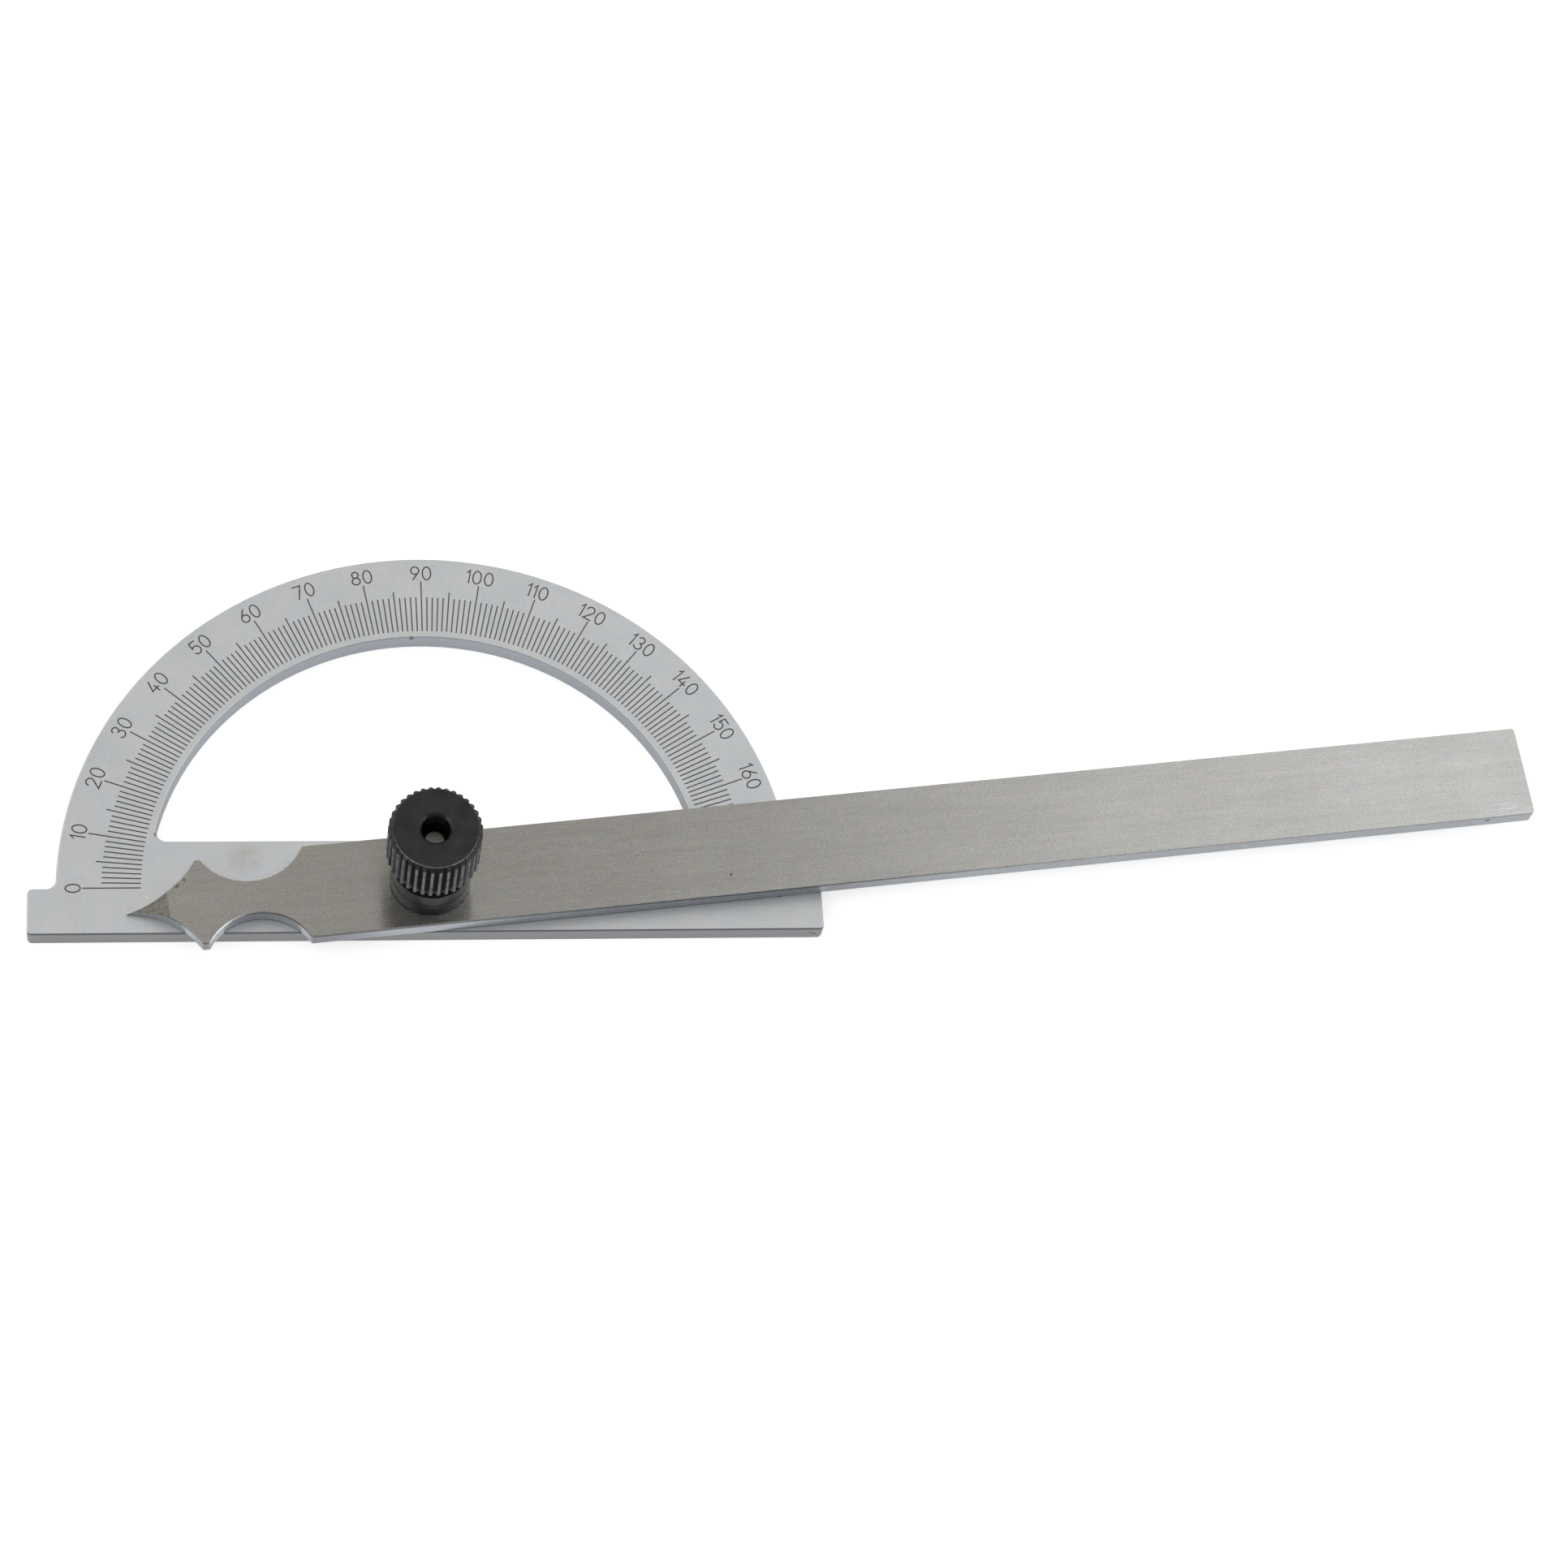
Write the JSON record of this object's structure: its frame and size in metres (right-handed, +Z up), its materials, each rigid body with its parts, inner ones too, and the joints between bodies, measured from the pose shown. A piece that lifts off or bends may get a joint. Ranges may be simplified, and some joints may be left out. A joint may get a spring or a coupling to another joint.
{
  "type": "goniometer",
  "caption": "Machinist's goniometer: a graduated half-ring plate with a straight base, a turning steel blade with a pointer, and a knurled clamping nut on the pivot stud.",
  "frame": {"origin": "where the pivot axis meets the flat underside of the plate, which is also the flush end face of the stud's head", "axes": "+Z up along the pivot axis, out of the graduated face; +Y from the pivot to the 90 degree mark; +X along the straight base towards the 180 degree mark, the side to which the blade's long end points"},
  "size_m": [0.1676, 0.0473, 0.018],
  "materials": {
    "satin_chrome": "satin chrome plate, fine sandblasted speckle, dark engraved marks",
    "brushed_blade": "stainless steel, brushed along its length",
    "bright_stud": "plain turned steel",
    "black_oxide": "black oxide on steel, satin"
  },
  "bodies": {
    "plate": {"protractor_plate": "satin_chrome", "pivot_stud": "bright_stud"},
    "blade": {"blade": "brushed_blade"},
    "washer": {"clamp_washer": "black_oxide"},
    "nut": {"knurled_nut": "black_oxide"}
  },
  "joints": [
    {"name": "blade_turn", "type": "hinge", "parent": "plate", "child": "blade", "pos_m": [0, 0, 0.0035], "axis": [0, 0, 1], "continuous": true},
    {"name": "nut_turn", "type": "hinge", "parent": "plate", "child": "washer", "pos_m": [0, 0, 0.0059], "axis": [0, 0, 1], "range_deg": [0, 3600]},
    {"name": "nut_lift", "type": "slide", "parent": "washer", "child": "nut", "axis": [0, 0, 1], "range_m": [0, 0.005]}
  ],
  "couplings": [
    {"joint": "nut_lift", "follows": "nut_turn", "m_per_rad": 0.000079577}
  ]
}
